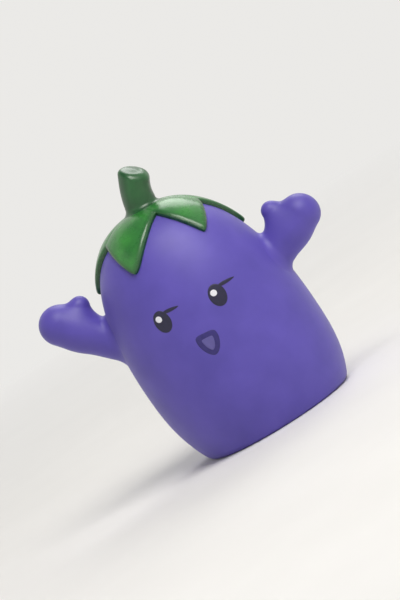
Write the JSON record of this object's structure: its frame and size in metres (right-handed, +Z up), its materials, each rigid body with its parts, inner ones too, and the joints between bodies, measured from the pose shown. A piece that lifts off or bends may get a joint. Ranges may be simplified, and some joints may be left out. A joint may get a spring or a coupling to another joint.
{
  "type": "finger puppet",
  "caption": "Hollow soft vinyl finger puppet shaped as a smiling aubergine with raised arms, a green leaf cap and stem, open at the base for a finger.",
  "frame": {"origin": "on the surface that the puppet stands on, below the middle of its hands; the open rim's middle is 0.9 mm towards +X, because the body leans", "axes": "+Z up the body to the stem, -Y the way the face looks, +X towards the puppet's left hand, which is at the right of a front view"},
  "size_m": [0.0525, 0.0294, 0.0506],
  "materials": {
    "purple_vinyl": "satin",
    "green_gloss_paint": "gloss",
    "face_ink": "satin"
  },
  "bodies": {
    "root": {"puppet": "purple_vinyl"}
  },
  "joints": []
}
